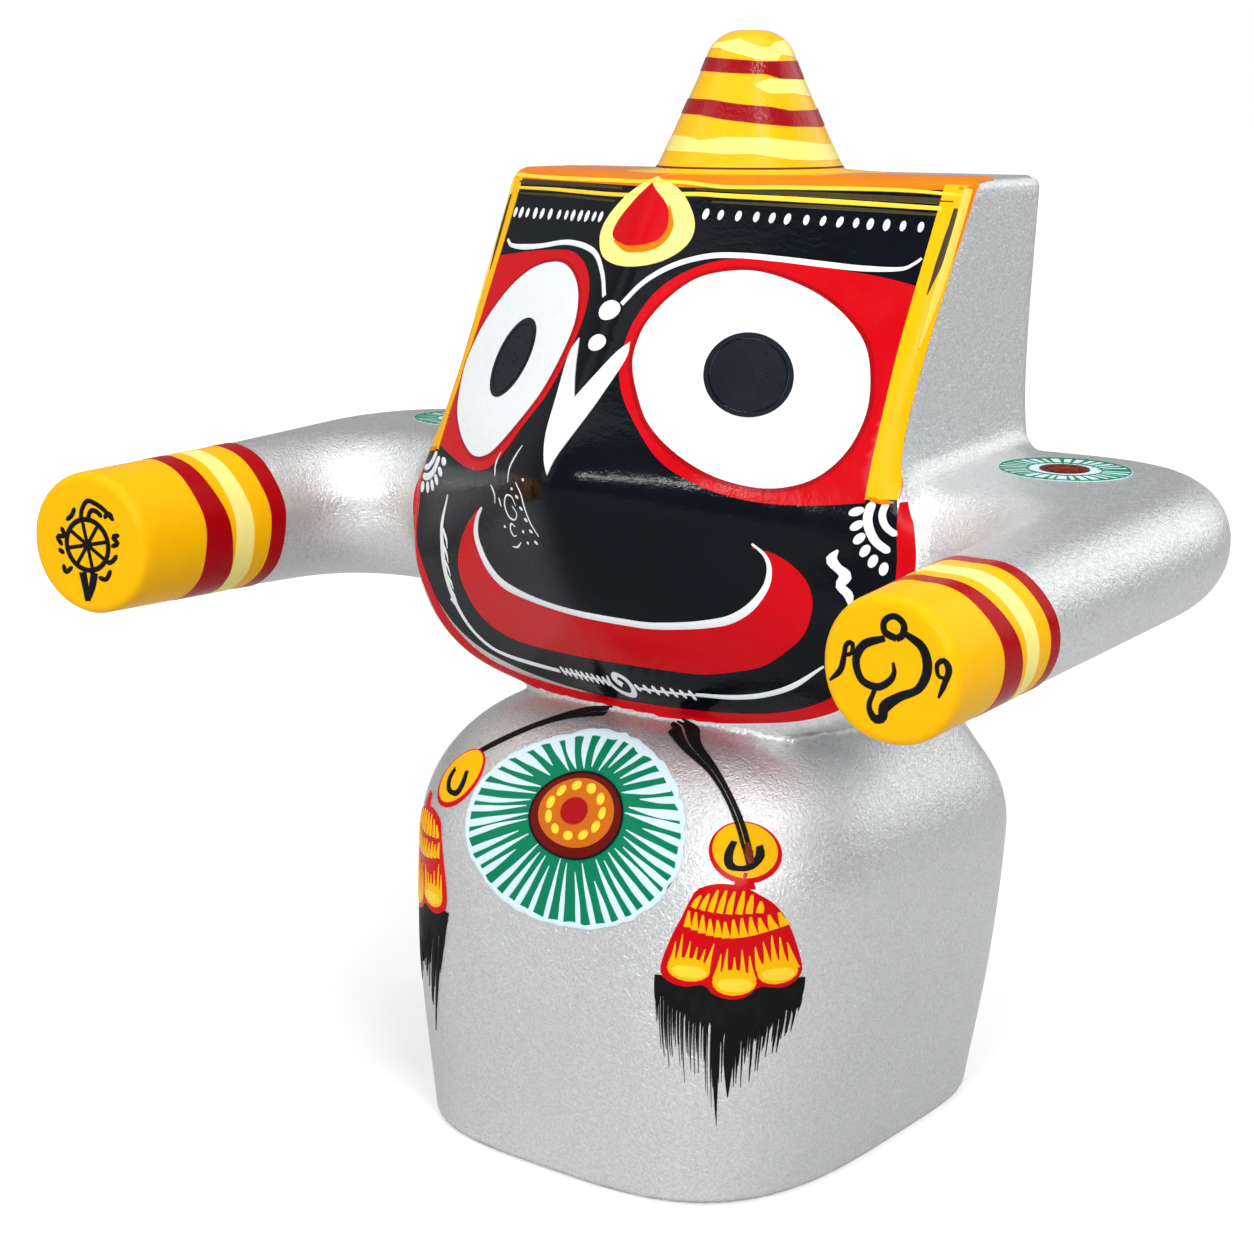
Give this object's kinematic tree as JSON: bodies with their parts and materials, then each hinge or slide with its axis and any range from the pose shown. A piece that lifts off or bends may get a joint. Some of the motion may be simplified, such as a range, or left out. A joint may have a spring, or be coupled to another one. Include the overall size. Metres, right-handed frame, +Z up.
{
  "type": "jagannath figure",
  "caption": "Hand-carved, painted wooden shrine figure with a wedge-shaped head, cone crown, forward-reaching arms and a square body.",
  "frame": {"origin": "on the ground under the body, on the plane that the figure's two sides mirror in, under the body's widest section", "axes": "+Z up, the face and hands towards -Y, the figure's own left arm towards +X"},
  "size_m": [0.1786, 0.1051, 0.1777],
  "materials": {
    "silver_paint": "satin silver leaf paint over light carved wood",
    "black_enamel": "brushed gloss enamel",
    "red_enamel": "brushed gloss enamel",
    "yellow_enamel": "brushed gloss enamel",
    "white_enamel": "brushed gloss enamel",
    "green_enamel": "brushed gloss enamel"
  },
  "bodies": {
    "root": {"jagannath_figure": "silver_paint"}
  },
  "joints": []
}
